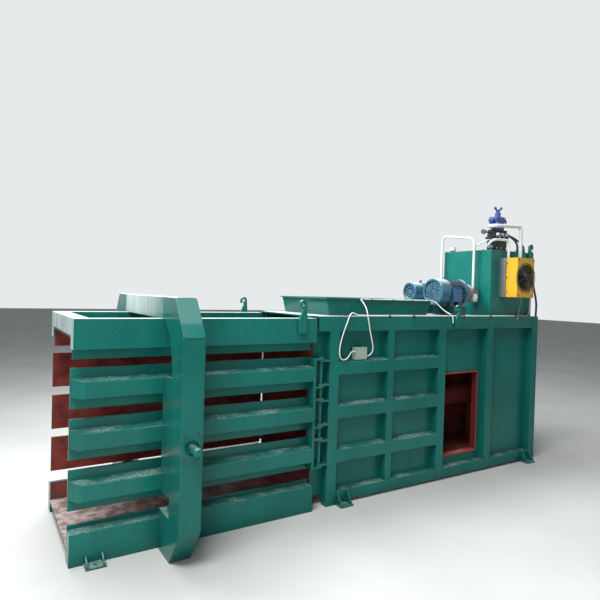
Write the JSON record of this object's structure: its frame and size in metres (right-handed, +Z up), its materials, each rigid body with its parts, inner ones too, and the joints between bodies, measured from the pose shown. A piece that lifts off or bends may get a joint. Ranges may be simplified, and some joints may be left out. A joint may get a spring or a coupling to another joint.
{
  "type": "horizontal recycling baler",
  "caption": "Horizontal baler with a ram chamber, finger side walls squeezed in a yoke, a feed frame, an access window and a hydraulic power pack on its deck.",
  "frame": {"origin": "on the floor, in the middle of the machine's length and width", "axes": "+X runs from the bale exit to the power end, +Y to the side away from the access window, +Z up"},
  "size_m": [4.87, 2.146, 2.8186],
  "materials": {
    "green_paint": "gloss paint with dust",
    "red_primer": "matt primer",
    "bright_steel": "ground",
    "dark_steel": "oiled",
    "cooler_metal": "finned",
    "yellow_paint": "satin paint",
    "black_guard": "satin paint",
    "blue_paint": "gloss paint",
    "light_blue_paint": "gloss paint",
    "grey_casting": "as cast",
    "white_pipe": "gloss paint",
    "valve_black": "satin paint",
    "valve_blue": "gloss paint",
    "box_grey": "moulded",
    "white_cord": "smooth",
    "earth_yellow": "smooth",
    "black_hose": "ribbed"
  },
  "bodies": {
    "frame": {"channel_floor": "red_primer", "bottom_beams": "green_paint", "top_beams": "green_paint", "exit_cross_beam": "green_paint", "channel_top_plate": "green_paint", "floor_bearers": "green_paint", "yoke_columns": "green_paint", "yoke_top_beam": "green_paint", "yoke_bottom_tie": "green_paint", "hinge_brackets": "green_paint", "hinge_pins": "green_paint", "chamber_wall_near": "green_paint", "chamber_wall_far": "green_paint", "rear_wall_near": "green_paint", "rear_wall_far": "green_paint", "upper_rails": "green_paint", "lower_rails": "green_paint", "window_frame": "red_primer", "rear_end_plate": "green_paint", "body_floor": "red_primer", "top_deck": "green_paint", "feed_hopper": "green_paint", "lifting_hooks": "green_paint", "anchor_feet": "green_paint", "main_cylinder": "green_paint", "cylinder_saddles": "green_paint", "squeeze_cylinders": "green_paint", "squeeze_bolts": "dark_steel", "slot_rod": "bright_steel", "oil_tank": "green_paint", "tank_lid": "green_paint", "cooler_core": "cooler_metal", "cooler_shroud": "yellow_paint", "fan_guard": "black_guard", "motors": "blue_paint", "motor_cowls": "light_blue_paint", "pump_sets": "grey_casting", "hydraulic_pipes": "white_pipe", "valve_manifold": "valve_black", "valve_stack": "valve_blue", "pendant_box": "box_grey", "fan_cord": "white_cord", "pendant_cord": "white_cord", "earth_lead": "earth_yellow", "valve_hose_front": "black_hose", "valve_hose_rear": "black_hose", "rear_hose": "black_hose"},
    "ram": {"ram_platen": "red_primer", "ram_rod": "bright_steel"},
    "near_wall": {"near_fingers": "green_paint", "near_push_beam": "green_paint", "near_hinge_bar": "green_paint"},
    "far_wall": {"far_fingers": "green_paint", "far_push_beam": "green_paint", "far_hinge_bar": "green_paint"},
    "near_squeeze_rod": {"squeeze_rod_near": "bright_steel"},
    "far_squeeze_rod": {"squeeze_rod_far": "bright_steel"},
    "cooler_fan_rotor": {"cooler_fan": "black_guard"},
    "near_motor_fan": {"motor_fan_near": "black_guard"},
    "far_motor_fan": {"motor_fan_far": "black_guard"}
  },
  "joints": [
    {"name": "ram_slide", "type": "slide", "parent": "frame", "child": "ram", "axis": [-1, 0, 0], "range_m": [0, 1.2]},
    {"name": "near_wall_swing", "type": "hinge", "parent": "frame", "child": "near_wall", "pos_m": [-0.495, -0.495, 0.8], "axis": [0, 0, -1], "range_deg": [0, 1.5]},
    {"name": "far_wall_swing", "type": "hinge", "parent": "frame", "child": "far_wall", "pos_m": [-0.495, 0.495, 0.8], "axis": [0, 0, 1], "range_deg": [0, 1.5]},
    {"name": "near_squeeze_slide", "type": "slide", "parent": "frame", "child": "near_squeeze_rod", "axis": [0, 1, 0], "range_m": [0, 0.036]},
    {"name": "far_squeeze_slide", "type": "slide", "parent": "frame", "child": "far_squeeze_rod", "axis": [0, -1, 0], "range_m": [0, 0.036]},
    {"name": "cooler_fan_spin", "type": "hinge", "parent": "frame", "child": "cooler_fan_rotor", "pos_m": [1.985, -0.58, 2.033], "axis": [0, 1, 0], "continuous": true},
    {"name": "near_motor_fan_spin", "type": "hinge", "parent": "frame", "child": "near_motor_fan", "pos_m": [1.065, -0.26, 1.856], "axis": [1, 0, 0], "continuous": true},
    {"name": "far_motor_fan_spin", "type": "hinge", "parent": "frame", "child": "far_motor_fan", "pos_m": [1.215, 0.2, 1.856], "axis": [1, 0, 0], "continuous": true}
  ],
  "couplings": [
    {"joint": "near_squeeze_slide", "follows": "near_wall_swing", "m_per_rad": 1.288},
    {"joint": "far_squeeze_slide", "follows": "far_wall_swing", "m_per_rad": 1.288}
  ]
}
